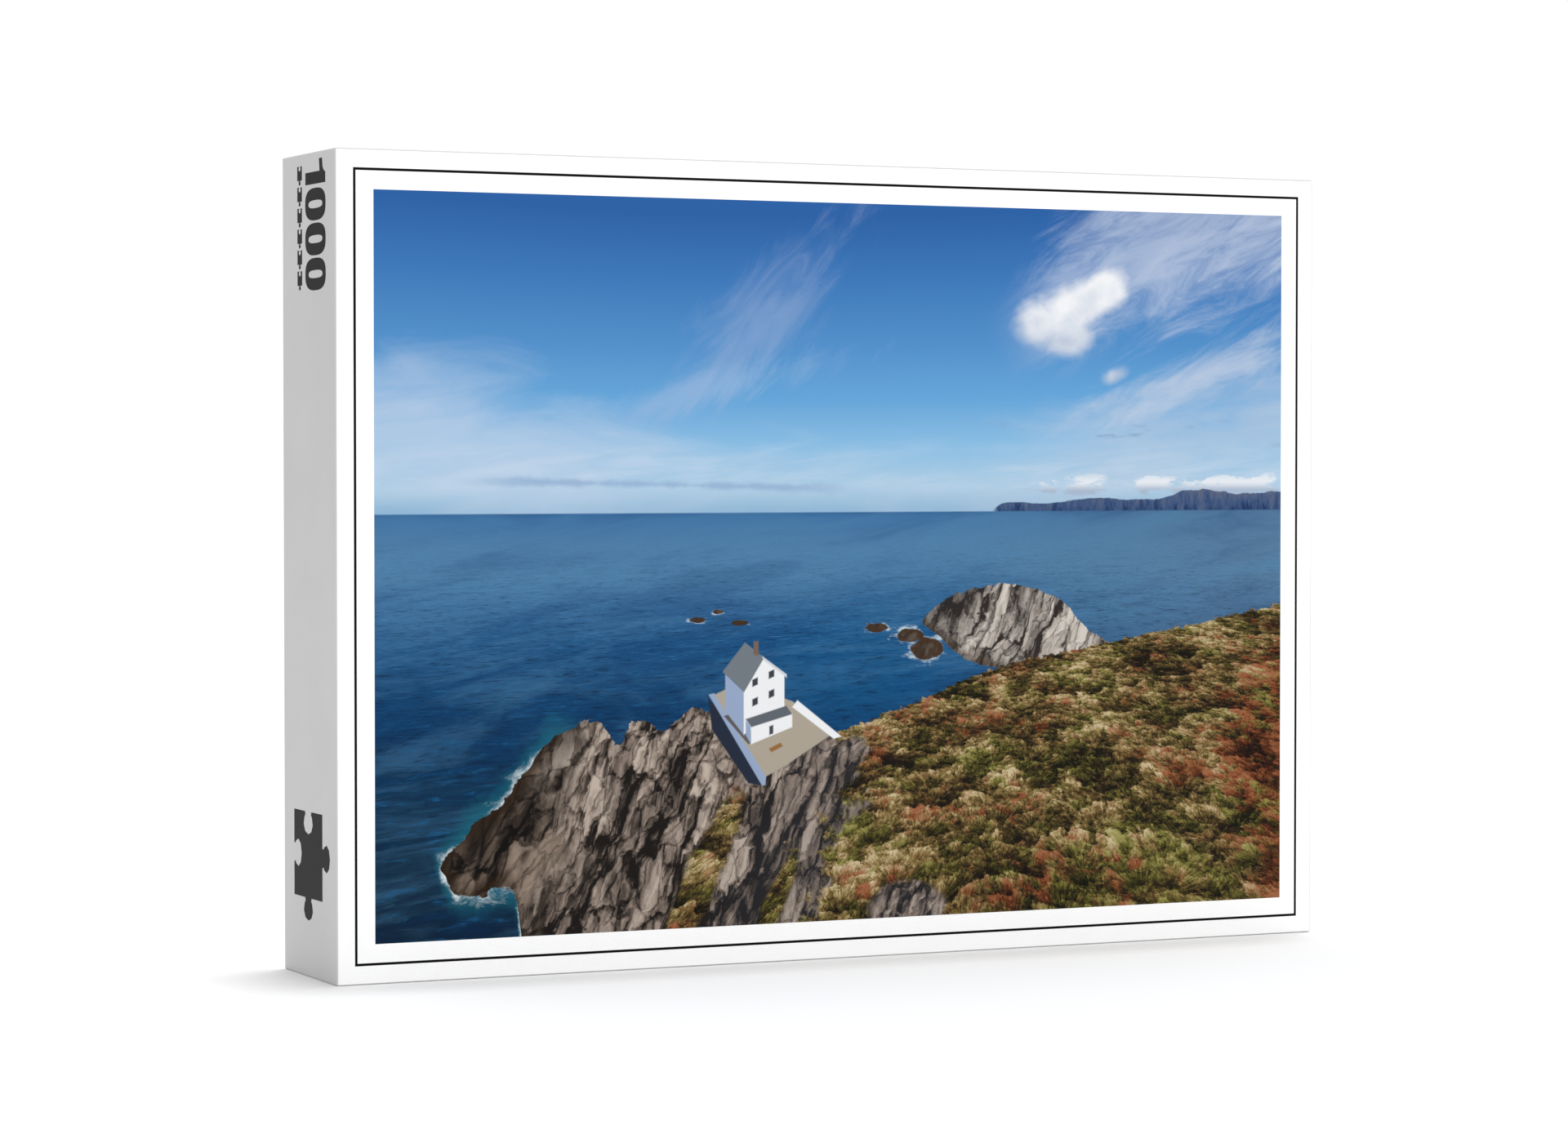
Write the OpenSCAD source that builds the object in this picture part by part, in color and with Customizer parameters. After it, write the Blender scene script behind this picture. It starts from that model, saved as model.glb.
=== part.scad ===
// Boxed jigsaw puzzle, standing on one long side with its lid facing forwards.
//
// The lid and the tray are rigid boxes: scored greyboard panels, paper corner stays
// and a printed paper wrap whose edges turn in over the rims. The lid slides over the
// whole depth of the tray. A sealed film bag of loose pieces lies in the tray.
// X runs along the width, -Y is the front and Z is up, from the long side it stands on.

/* [Box] */
// Width of the closed box
box_w = 370; // [300:1:420]
// Height of the closed box, standing on its long side
box_h = 271; // [230:1:300]
// Depth of the closed box, front to back
box_d = 53; // [48:1:60]

/* [Board and paper] */
// Thickness of the greyboard
board_t = 1.5; // [1.2:0.1:2]
// Thickness of the printed paper wrap
wrap_t = 0.25; // [0.2:0.05:0.3]
// Thickness of the paper corner stays
stay_t = 0.12; // [0.1:0.02:0.16]
// Length of each leg of a corner stay
stay_leg = 12; // [8:1:16]
// Width of the paper turned in behind a rim
turn_in = 16; // [10:1:20]

/* [Fit] */
// Clearance between lid and tray on each side
fit_gap = 0.7; // [0.5:0.1:1]
// How far the tray sits below the middle of the lid
tray_drop = 0.4; // [0:0.1:0.4]
// Clearance between the tray's rim and the lid's front panel
rim_gap = 0.75; // [0.5:0.05:1]

/* [Bag] */
// Width of the filled bag
bag_w = 312; // [260:1:316]
// Height of the filled bag as it slumps
bag_h = 132; // [120:1:140]
// Thickness of the filled bag, front to back
bag_d = 45; // [44:0.5:45.5]
// Thickness of the bag's film
film_t = 0.2; // [0.15:0.05:0.3]
// Height of the heap of pieces inside the bag
heap_h = 102; // [98:1:108]

/* [Puzzle] */
// Width of one piece
piece_w = 16.75; // [16:0.05:17]
// Height of one piece
piece_h = 19.2; // [18.8:0.05:19.4]
// Thickness of one piece
piece_t = 2; // [1.8:0.1:2]
// Size of a knob, as a share of the standard one
knob_k = 1; // [0.8:0.05:1.05]
// Seed for the scatter of the pieces
seed = 7; // [1:1:99]

/* [Hidden] */

crease = 0.02;   // open crease between two panels of a wrap or a blank
mitre = 40;      // how far inwards the mitre at a corner is drawn
seat = 0.3;      // clearance between the bag and the paper it rests on

// The two boxes as [width, height, base y, rim y, middle z]; a base is the closed face.
lid_box = [box_w, box_h, -box_d / 2, box_d / 2, box_h / 2];
wall = board_t + stay_t + wrap_t;
tray_shrink = 2 * (wall + wrap_t + fit_gap);
tray_rim = -box_d / 2 + wrap_t + board_t + rim_gap;
tray_box = [box_w - tray_shrink, box_h - tray_shrink, box_d / 2, tray_rim, box_h / 2 - tray_drop];

function towards_rim(b) = sign(b[3] - b[2]);

// Inside of the tray
tray_in_w = tray_box[0] - 2 * wall;
tray_floor_z = tray_box[4] - tray_box[1] / 2 + wall;
bag_mid_y = (tray_rim + box_d / 2 - board_t - wrap_t) / 2;
bag_z = tray_floor_z + wrap_t + seat;

// Places for pieces that lie flat against the film, in layers in front of and behind the heap
bag_shoulder = 15;
layer_pitch = piece_t + 0.3;
front_layers = 3;
back_layers = 2;
piece_r = 13.6;
col_pitch = 2 * piece_r;
row_pitch = col_pitch * sin(60);
piece_rows = 3;
piece_cols = 8;
lowest_row = 34;

board_colour = "#9b9588";
paper_colour = "#f4f4f2";
stay_colour = "#b58f5e";
film_colour = "#dfe8ee";
heap_colour = "#7b7465";

// ---------------------------------------------------------------- box making

// The space of one wall, cut at 45 degrees at both ends. side: 0 bottom, 1 right, 2 top, 3 left.
module wall_space(b, side) {
    length = side % 2 == 0 ? b[0] : b[1];
    reach = side % 2 == 0 ? b[1] / 2 : b[0] / 2;
    translate([0, (b[2] + b[3]) / 2, b[4]])
        rotate([0, -90 * side, 0])
            rotate([90, 0, 0])
                linear_extrude(2 * abs(b[3] - b[2]), center = true)
                    polygon([
                        [-length / 2 + crease, -reach], [length / 2 - crease, -reach],
                        [length / 2 - crease - mitre, -reach + mitre],
                        [-length / 2 + crease + mitre, -reach + mitre]
                    ]);
}

// Draws a profile along one wall: its x is the distance in from the outer face, and its
// y the distance from the base towards the rim.
module along_wall(b, side, profile) {
    length = side % 2 == 0 ? b[0] : b[1];
    reach = side % 2 == 0 ? b[1] / 2 : b[0] / 2;
    intersection() {
        wall_space(b, side);
        translate([0, b[2], b[4]])
            rotate([0, -90 * side, 0])
                translate([-length / 2, 0, -reach])
                    rotate([90, 0, 90])
                        linear_extrude(length)
                            polygon([for (p = profile) [towards_rim(b) * p[1], p[0]]]);
    }
}

// One side wall of a greyboard blank
module side_wall(b, side) {
    outer = wrap_t + stay_t;
    depth = abs(b[3] - b[2]);
    along_wall(b, side, [
        [outer, wrap_t + board_t + crease], [outer, depth - wrap_t],
        [outer + board_t, depth - wrap_t], [outer + board_t, wrap_t + board_t + crease]
    ]);
}

// The flat panel that closes one box
module base_panel(b) {
    inset = 2 * (wrap_t + stay_t);
    translate([0, b[2] + towards_rim(b) * (wrap_t + board_t / 2), b[4]])
        cube([b[0] - inset, board_t, b[1] - inset], center = true);
}

// Four paper strips folded round the outer corners of the walls, under the wrap
module corner_stays(b) {
    depth = abs(b[3] - b[2]) - 2 * wrap_t - board_t - 1;
    mid_y = (b[2] + b[3]) / 2 + towards_rim(b) * board_t / 2;
    half_w = b[0] / 2 - wrap_t;
    half_h = b[1] / 2 - wrap_t;
    for (sx = [-1, 1], sz = [-1, 1])
        translate([0, mid_y, b[4]])
            mirrored(sx, sz)
                rotate([90, 0, 0])
                    linear_extrude(depth, center = true)
                        polygon([
                            [half_w, half_h], [half_w - stay_leg, half_h],
                            [half_w - stay_leg, half_h - stay_t], [half_w - stay_t, half_h - stay_t],
                            [half_w - stay_t, half_h - stay_leg], [half_w, half_h - stay_leg]
                        ]);
}

// Mirrors its children into the quadrant with the given signs of x and z
module mirrored(sx, sz) {
    mirror([sx < 0 ? 1 : 0, 0, 0])
        mirror([0, 0, sz < 0 ? 1 : 0])
            children();
}

// The paper wrap: the sheet over the base, and one sheet for each wall that folds round
// the rim and turns in behind it
module wrap_sheets(b) {
    depth = abs(b[3] - b[2]);
    inner = wrap_t + stay_t + board_t;
    inset = 2 * (wrap_t + crease);
    translate([0, b[2] + towards_rim(b) * wrap_t / 2, b[4]])
        cube([b[0] - inset, wrap_t, b[1] - inset], center = true);
    for (side = [0:3])
        along_wall(b, side, [
            [0, 0], [0, depth], [inner + wrap_t, depth], [inner + wrap_t, depth - turn_in],
            [inner, depth - turn_in], [inner, depth - wrap_t], [wrap_t, depth - wrap_t], [wrap_t, 0]
        ]);
}

// ---------------------------------------------------------------- bag and pieces

// Outline of the slumped bag, inset all round: nearly square below, domed above
function bag_outline(inset) = let(a = bag_w / 2 - inset, c = bag_h / 2 - inset) [
    for (i = [0:39])
        let(t = 9 * i, below = t > 180, nx = below ? 0.24 : 0.42, nz = below ? 0.24 : 0.72)
            [a * sign(cos(t)) * pow(abs(cos(t)), nx), bag_h / 2 + c * sign(sin(t)) * pow(abs(sin(t)), nz)]
];

// The closed form of the filled bag, thinner by the given amount all over
module bag_form(less) {
    translate([0, bag_mid_y, bag_z])
        rotate([90, 0, 0])
            hull() {
                linear_extrude(bag_d - 2 * less, center = true)
                    polygon(bag_outline(bag_shoulder + less));
                linear_extrude(bag_d / 2 - 2 * less, center = true)
                    polygon(bag_outline(less));
            }
}

// A knob on a side of the given length: s is 1 outwards, -1 inwards and 0 for a straight side
function knob(len, s) = s == 0 ? [] : let(m = len / 2, k = knob_k * s) [
    [m - 1.5, 0], [m - 2.7, 1.9 * k], [m - 1.3, 3.5 * k],
    [m + 1.3, 3.5 * k], [m + 2.7, 1.9 * k], [m + 1.5, 0]
];

// Outline of one piece about its own middle, with signs for its bottom, right, top and left sides
function piece_outline(s) = let(w = piece_w, h = piece_h) [
    for (p = concat(
        [[0, 0]], [for (p = knob(w, s[0])) [p[0], -p[1]]],
        [[w, 0]], [for (p = knob(h, s[1])) [w + p[1], p[0]]],
        [[w, h]], [for (p = knob(w, s[2])) [w - p[0], h + p[1]]],
        [[0, h]], [for (p = knob(h, s[3])) [-p[1], h - p[0]]]
    )) [p[0] - w / 2, p[1] - h / 2]
];

// Middle of a place in a layer, staggered from row to row
function place_x(row, col) = (col - (piece_cols - 1) / 2 + (row % 2 == 0 ? -0.25 : 0.25)) * col_pitch;
function place_z(row) = lowest_row + row * row_pitch;

// Distance of a layer's middle from the middle of the bag
function layer_y(layer) = let(outermost = bag_d / 2 - film_t - 0.3 - piece_t / 2)
    layer < front_layers
        ? -outermost + layer * layer_pitch
        : outermost - (layer - front_layers) * layer_pitch;

// The signs of the four sides of a piece of a kind: 2, 1 or 0 straight sides
function piece_sides(kind, toss) =
    kind == "corner" ? [0, toss[0], toss[1], 0] :
    kind == "edge" ? [0, toss[0], toss[1], toss[2]] : toss;

// A piece's kind, from its place's number: a few corners and edges among the middle pieces
function piece_kind(i) = i % 30 == 5 ? "corner" : i % 6 == 2 ? "edge" : "middle";

// All the pieces of one kind, each lying flat in its layer and turned at random
module pieces(kind) {
    for (layer = [0 : front_layers + back_layers - 1], row = [0 : piece_rows - 1], col = [0 : piece_cols - 1]) {
        i = (layer * piece_rows + row) * piece_cols + col;
        if (piece_kind(i) == kind) {
            draw = rands(0, 1, 5, seed * 1000 + i);
            toss = [for (k = [0:3]) draw[k] < 0.5 ? -1 : 1];
            translate([place_x(row, col), bag_mid_y + layer_y(layer), bag_z + place_z(row)])
                rotate([90, 360 * draw[4], 0])
                    linear_extrude(piece_t, center = true)
                        polygon(piece_outline(piece_sides(kind, toss)));
        }
    }
}

// ---------------------------------------------------------------- sub-parts

module lid_front_panel() { color(board_colour) base_panel(lid_box); }
module lid_bottom_wall() { color(board_colour) side_wall(lid_box, 0); }
module lid_right_wall() { color(board_colour) side_wall(lid_box, 1); }
module lid_top_wall() { color(board_colour) side_wall(lid_box, 2); }
module lid_left_wall() { color(board_colour) side_wall(lid_box, 3); }
module lid_corner_stays() { color(stay_colour) corner_stays(lid_box); }
module lid_wrap() { color(paper_colour) wrap_sheets(lid_box); }

module tray_back_panel() { color(board_colour) base_panel(tray_box); }
module tray_bottom_wall() { color(board_colour) side_wall(tray_box, 0); }
module tray_right_wall() { color(board_colour) side_wall(tray_box, 1); }
module tray_top_wall() { color(board_colour) side_wall(tray_box, 2); }
module tray_left_wall() { color(board_colour) side_wall(tray_box, 3); }
module tray_corner_stays() { color(stay_colour) corner_stays(tray_box); }
module tray_wrap() { color(paper_colour) wrap_sheets(tray_box); }

// The sealed bag: a thin film round the pieces
module piece_bag() {
    color(film_colour, 0.4)
        difference() {
            bag_form(0);
            bag_form(film_t);
        }
}

// The loose pieces between the layers that lie against the film
module piece_heap() {
    front = layer_y(front_layers - 1) + layer_pitch / 2 + 0.1;
    back = layer_y(front_layers + back_layers - 1) - layer_pitch / 2 - 0.1;
    color(heap_colour)
        intersection() {
            bag_form(film_t + 0.3);
            translate([-bag_w, bag_mid_y + front, bag_z])
                cube([2 * bag_w, back - front, heap_h]);
        }
}

module corner_pieces() { color("#3f7fc0") pieces("corner"); }
module edge_pieces() { color("#6d7f4a") pieces("edge"); }
module middle_pieces() { color("#8a7a66") pieces("middle"); }

lid_front_panel();
lid_top_wall();
lid_bottom_wall();
lid_left_wall();
lid_right_wall();
lid_corner_stays();
lid_wrap();
tray_back_panel();
tray_top_wall();
tray_bottom_wall();
tray_left_wall();
tray_right_wall();
tray_corner_stays();
tray_wrap();
piece_bag();
piece_heap();
corner_pieces();
edge_pieces();
middle_pieces();
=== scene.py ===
"""Looks of a boxed jigsaw puzzle: a paper-wrapped lid with a printed coast picture on its face, a plain
paper-wrapped tray, and a clear film bag holding a thousand interlocking pieces cut from the same picture.

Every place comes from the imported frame. Lengths are in metres, and MM turns millimetres into metres."""

import math
import random

import bmesh
import bpy
from mathutils import Euler, Matrix, Vector, noise


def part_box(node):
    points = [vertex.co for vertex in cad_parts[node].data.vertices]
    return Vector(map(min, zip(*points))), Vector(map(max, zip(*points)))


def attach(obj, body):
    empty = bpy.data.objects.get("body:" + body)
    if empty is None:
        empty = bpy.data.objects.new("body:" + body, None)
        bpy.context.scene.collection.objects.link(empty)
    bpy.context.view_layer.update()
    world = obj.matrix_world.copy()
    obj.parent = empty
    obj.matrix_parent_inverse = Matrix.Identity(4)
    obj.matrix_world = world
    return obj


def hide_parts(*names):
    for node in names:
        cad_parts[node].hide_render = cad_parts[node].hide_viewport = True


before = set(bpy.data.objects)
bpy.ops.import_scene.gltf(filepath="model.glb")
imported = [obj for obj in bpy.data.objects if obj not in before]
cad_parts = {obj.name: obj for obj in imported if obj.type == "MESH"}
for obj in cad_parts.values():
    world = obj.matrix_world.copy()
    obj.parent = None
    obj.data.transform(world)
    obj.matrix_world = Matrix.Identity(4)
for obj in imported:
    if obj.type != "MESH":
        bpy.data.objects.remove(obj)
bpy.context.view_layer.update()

MM = 0.001

# The frame's own boxes, which everything below is placed by
LID_LO, LID_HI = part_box("lid_wrap")
TRAY_LO, TRAY_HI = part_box("tray_wrap")
BAG_LO, BAG_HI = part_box("piece_bag")
HEAP_LO, HEAP_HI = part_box("piece_heap")
PAPER = 0.25 * MM
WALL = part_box("lid_left_wall")[1].x - LID_LO.x + PAPER
TURN_IN = 16 * MM

# The printed face: the black line and the picture, measured in from the lid's edges
LINE_INSET = 6.6 * MM
LINE_WIDTH = 0.88 * MM
PICTURE_INSET = 13.1 * MM
PICTURE_H = LID_HI.z - LID_LO.z - 2 * PICTURE_INSET
PICTURE_ASPECT = 1.4   # what the outlines below take the picture's width to be, beside its height
HORIZON = 0.57

# The puzzle: pieces across and up, and the size of one
COLUMNS, ROWS = 40, 25
PIECE_W, PIECE_H, PIECE_T = 16.75 * MM, 19.2 * MM, 2 * MM


# ------------------------------------------------------------------ camera

def make_camera():
    """A long lens to the left of the box, looking slightly down at it."""
    look_down, look_right = 1.492, 25.226
    data = bpy.data.cameras.new("camera")
    data.sensor_width = 36
    data.lens = 95.98
    data.clip_start, data.clip_end = 0.05, 60
    camera = bpy.data.objects.new("camera", data)
    camera.location = (-0.6289, -1.3080, 0.1695)
    camera.rotation_euler = (math.radians(90 - look_down), 0, math.radians(-look_right))
    bpy.context.scene.collection.objects.link(camera)
    bpy.context.scene.camera = camera


make_camera()


# ------------------------------------------------------------------ wiring shaders

def ink(red, green, blue):
    """A printed colour, given as it is mixed on screen from 0 to 255, as the shader wants it."""
    def linear(c):
        c /= 255
        return c / 12.92 if c <= 0.04045 else ((c + 0.055) / 1.055) ** 2.4
    return (linear(red), linear(green), linear(blue), 1)


class Flow:
    """A number on its way through a node tree, with ordinary arithmetic."""

    def __init__(self, kit, socket):
        self.kit, self.socket = kit, socket

    def __add__(self, other):
        return self.kit.math("ADD", self, other)

    def __sub__(self, other):
        return self.kit.math("SUBTRACT", self, other)

    def __mul__(self, other):
        return self.kit.math("MULTIPLY", self, other)

    def __truediv__(self, other):
        return self.kit.math("DIVIDE", self, other)

    def __rsub__(self, other):
        return self.kit.math("SUBTRACT", other, self)

    def __rtruediv__(self, other):
        return self.kit.math("DIVIDE", other, self)

    __radd__ = __add__
    __rmul__ = __mul__


class Kit:
    """Adds nodes to a tree, one for each call, and hands back what they give."""

    def __init__(self, tree):
        self.tree = tree

    def node(self, kind, **settings):
        """A new node of a kind, with its settings."""
        made = self.tree.nodes.new(kind)
        for name, value in settings.items():
            setattr(made, name, value)
        return made

    def plug(self, value, socket):
        """Feeds a socket, from a link or with a constant."""
        if isinstance(value, Flow):
            value = value.socket
        if isinstance(value, bpy.types.NodeSocket):
            self.tree.links.new(value, socket)
        else:
            socket.default_value = value

    def math(self, operation, a, b=0.0):
        """The result of an arithmetic operation."""
        made = self.node("ShaderNodeMath", operation=operation)
        self.plug(a, made.inputs[0])
        self.plug(b, made.inputs[1])
        return Flow(self, made.outputs[0])

    def least(self, a, b):
        """The smaller of two values."""
        return self.math("MINIMUM", a, b)

    def most(self, a, b):
        """The larger of two values."""
        return self.math("MAXIMUM", a, b)

    def place(self, x, y, z=0.0):
        """A vector made of its three parts."""
        made = self.node("ShaderNodeCombineXYZ")
        for value, socket in zip((x, y, z), made.inputs):
            self.plug(value, socket)
        return made.outputs[0]

    def parts(self, vector):
        """The three parts of a vector."""
        made = self.node("ShaderNodeSeparateXYZ")
        self.plug(vector, made.inputs[0])
        return [Flow(self, output) for output in made.outputs]

    def noise(self, vector, scale, detail=4.0, rough=0.5, distortion=0.0):
        """Cloudy noise, around a half."""
        made = self.node("ShaderNodeTexNoise")
        self.plug(vector, made.inputs["Vector"])
        made.inputs["Scale"].default_value = scale
        made.inputs["Detail"].default_value = detail
        made.inputs["Roughness"].default_value = rough
        made.inputs["Distortion"].default_value = distortion
        return Flow(self, made.outputs[0])

    def cells(self, vector, scale, feature="F1"):
        """How far a place is from a random cell's middle or edge."""
        made = self.node("ShaderNodeTexVoronoi", feature=feature)
        self.plug(vector, made.inputs["Vector"])
        made.inputs["Scale"].default_value = scale
        return Flow(self, made.outputs["Distance"])

    def stones(self, vector, scale):
        """A random tone for each cell, and the place of the cell's middle."""
        made = self.node("ShaderNodeTexVoronoi")
        self.plug(vector, made.inputs["Vector"])
        made.inputs["Scale"].default_value = scale
        return self.parts(made.outputs["Color"])[0], made.outputs["Position"]

    def step(self, value, low, high):
        """0 below low and 1 above high, smooth between; low may be above high."""
        made = self.node("ShaderNodeMapRange", interpolation_type="SMOOTHSTEP")
        self.plug(value, made.inputs["Value"])
        if low > high:
            low, high = high, low
            made.inputs["To Min"].default_value, made.inputs["To Max"].default_value = 1, 0
        made.inputs["From Min"].default_value, made.inputs["From Max"].default_value = low, high
        return Flow(self, made.outputs[0])

    def curve(self, value, points):
        """A smooth line through the given points, read at value, which runs from 0 to 1."""
        made = self.node("ShaderNodeFloatCurve")
        line = made.mapping.curves[0]
        made.mapping.clip_min_y = -1
        while len(line.points) < len(points):
            line.points.new(0.5, 0.5)
        for dot, (x, y) in zip(line.points, points):
            dot.location = (x, y)
        made.mapping.update()
        self.plug(value, made.inputs["Value"])
        return Flow(self, made.outputs[0])

    def ramp(self, value, stops):
        """A colour read off a row of stops."""
        made = self.node("ShaderNodeValToRGB")
        bar = made.color_ramp.elements
        while len(bar) < len(stops):
            bar.new(0.5)
        for stop, (at, colour) in zip(bar, stops):
            stop.position, stop.color = at, colour
        self.plug(value, made.inputs[0])
        return made.outputs[0]

    def mix(self, share, under, over, blend="MIX"):
        """One colour laid over another, by a share from 0 to 1."""
        made = self.node("ShaderNodeMix", data_type="RGBA", blend_type=blend)
        self.plug(share, made.inputs["Factor"])
        self.plug(under, made.inputs[6])
        self.plug(over, made.inputs[7])
        return made.outputs[2]

    def shift(self, vector, offset):
        """A vector moved by another."""
        made = self.node("ShaderNodeVectorMath", operation="ADD")
        self.plug(vector, made.inputs[0])
        self.plug(offset, made.inputs[1])
        return made.outputs[0]

    def less(self, vector, other):
        """One vector less another."""
        made = self.node("ShaderNodeVectorMath", operation="SUBTRACT")
        self.plug(vector, made.inputs[0])
        self.plug(other, made.inputs[1])
        return made.outputs[0]

    def dot(self, vector, direction):
        """How far a place lies along a direction."""
        made = self.node("ShaderNodeVectorMath", operation="DOT_PRODUCT")
        self.plug(vector, made.inputs[0])
        made.inputs[1].default_value = direction
        return Flow(self, made.outputs["Value"])

    def turned(self, x, y, cx, cy, degrees):
        """The place (x, y) seen from (cx, cy): how far along a direction it is, and how far across."""
        c, s = math.cos(math.radians(degrees)), math.sin(math.radians(degrees))
        dx, dy = x - cx, y - cy
        return dx * c + dy * s, dy * c - dx * s

    def patch(self, x, y, cx, cy, rx, ry, degrees=0.0):
        """Distance from the middle of an oval, which is 1 on its edge."""
        along, across = self.turned(x, y, cx, cy, degrees)
        return self.math("SQRT", (along / rx) * (along / rx) + (across / ry) * (across / ry))

    def patch_band(self, value, low, high, soft):
        """1 between low and high, fading out over soft inside each end."""
        return self.step(value, low, low + soft) * self.step(value, high, high - soft)

    def facet(self, place, corners, soft=0.0012):
        """1 inside a convex outline, its corners anticlockwise, and 0 outside."""
        inside = None
        for (ax, ay), (bx, by) in zip(corners, corners[1:] + corners[:1]):
            length = math.hypot(bx - ax, by - ay)
            nx, ny = -(by - ay) / length, (bx - ax) / length
            edge = self.dot(place, (nx, ny, 0)) - (nx * ax + ny * ay)
            inside = edge if inside is None else self.least(inside, edge)
        return self.step(inside, -soft, soft)


# ------------------------------------------------------------------ the printed coast

# Outlines in the picture: how far across from 0 to 1, and how high from 0 to 1
LAND_TOP = [
    (0.0, -0.3), (0.06, 0.09), (0.1, 0.15), (0.13, 0.185), (0.155, 0.222), (0.18, 0.268), (0.207, 0.282),
    (0.225, 0.293), (0.25, 0.262), (0.272, 0.288), (0.3, 0.275), (0.33, 0.303), (0.36, 0.282), (0.4, 0.25),
    (0.45, 0.255), (0.49, 0.266), (0.56, 0.295), (0.66, 0.345), (0.78, 0.377), (0.9, 0.405), (1.0, 0.432)]
LAND_FOOT = [
    (0.0, 0.4), (0.06, 0.13), (0.075, 0.075), (0.095, 0.057), (0.138, 0.066), (0.148, 0.0), (0.17, -0.1),
    (1.0, -0.1)]
ISLE_TOP = [
    (0.0, 0.0), (0.572, 0.395), (0.59, 0.43), (0.62, 0.452), (0.668, 0.466), (0.71, 0.458), (0.74, 0.44),
    (0.765, 0.41), (0.8, 0.375), (1.0, 0.2)]
ISLE_FOOT = [(0.0, 0.5), (0.572, 0.42), (0.6, 0.395), (0.64, 0.357), (0.7, 0.345), (1.0, 0.34)]
RIDGE = [
    (0.0, 0.0), (0.655, 0.0), (0.68, 0.4), (0.72, 0.36), (0.78, 0.55), (0.84, 0.5), (0.9, 0.95), (0.95, 0.8),
    (1.0, 0.85)]


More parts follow.
